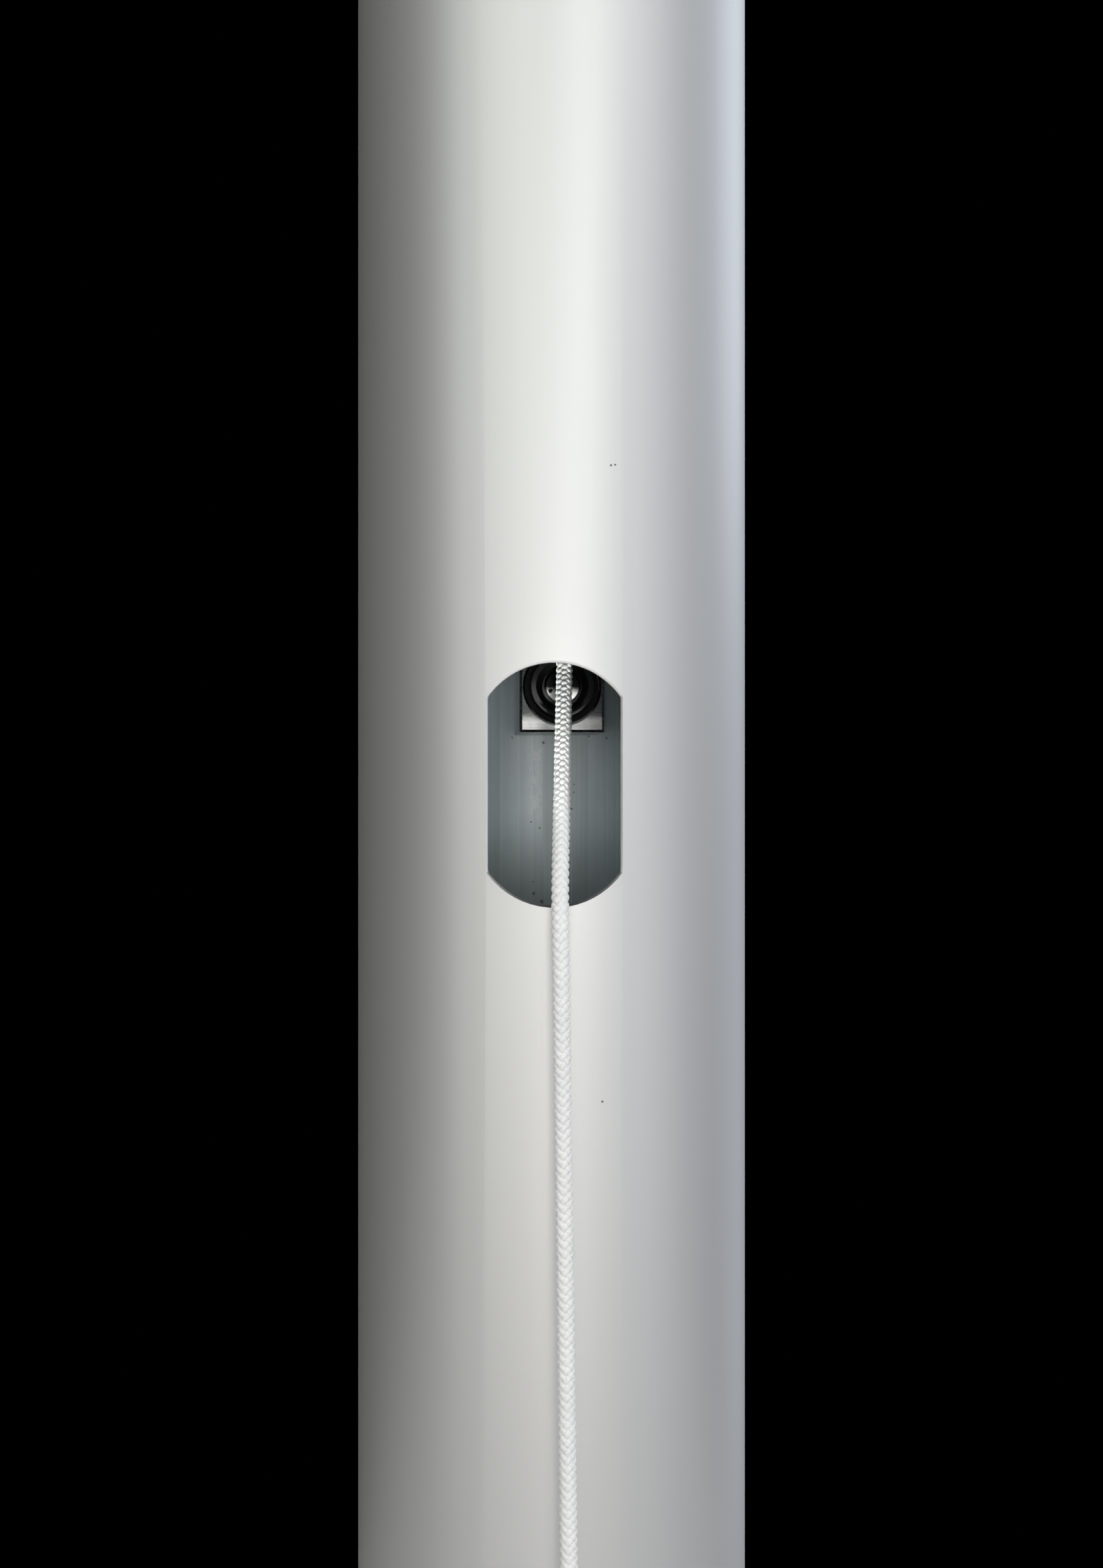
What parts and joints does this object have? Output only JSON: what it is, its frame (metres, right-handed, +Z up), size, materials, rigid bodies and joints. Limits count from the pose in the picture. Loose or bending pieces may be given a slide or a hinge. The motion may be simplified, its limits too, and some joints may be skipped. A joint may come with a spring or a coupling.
{
  "type": "flagpole shaft section with halyard outlet",
  "caption": "Length of hollow round aluminium flagpole shaft with a slotted halyard outlet, an inner belaying block with a button, and a braided halyard that hangs out over the slot's sill.",
  "frame": {"origin": "centre of the shaft's lower end, on the plane it stands on", "axes": "+Z up along the shaft's axis, -Y out through the halyard slot, +X to the right as one faces the slot"},
  "size_m": [0.1199, 0.1366, 0.69],
  "materials": {
    "anodised_shaft": "satin anodised, fine lines along the shaft",
    "milled_block": "milled, bright edges",
    "black_button": "gloss",
    "polished_bolt": "polished",
    "screw_steel": "satin",
    "white_cord": "braided polyester"
  },
  "bodies": {
    "root": {"pole_tube": "anodised_shaft", "belaying_block": "milled_block", "belaying_button": "black_button", "button_bolt": "polished_bolt", "lower_screw": "screw_steel", "upper_screw": "screw_steel", "halyard": "white_cord", "stopper_knot": "white_cord", "end_knot": "white_cord"}
  },
  "joints": []
}
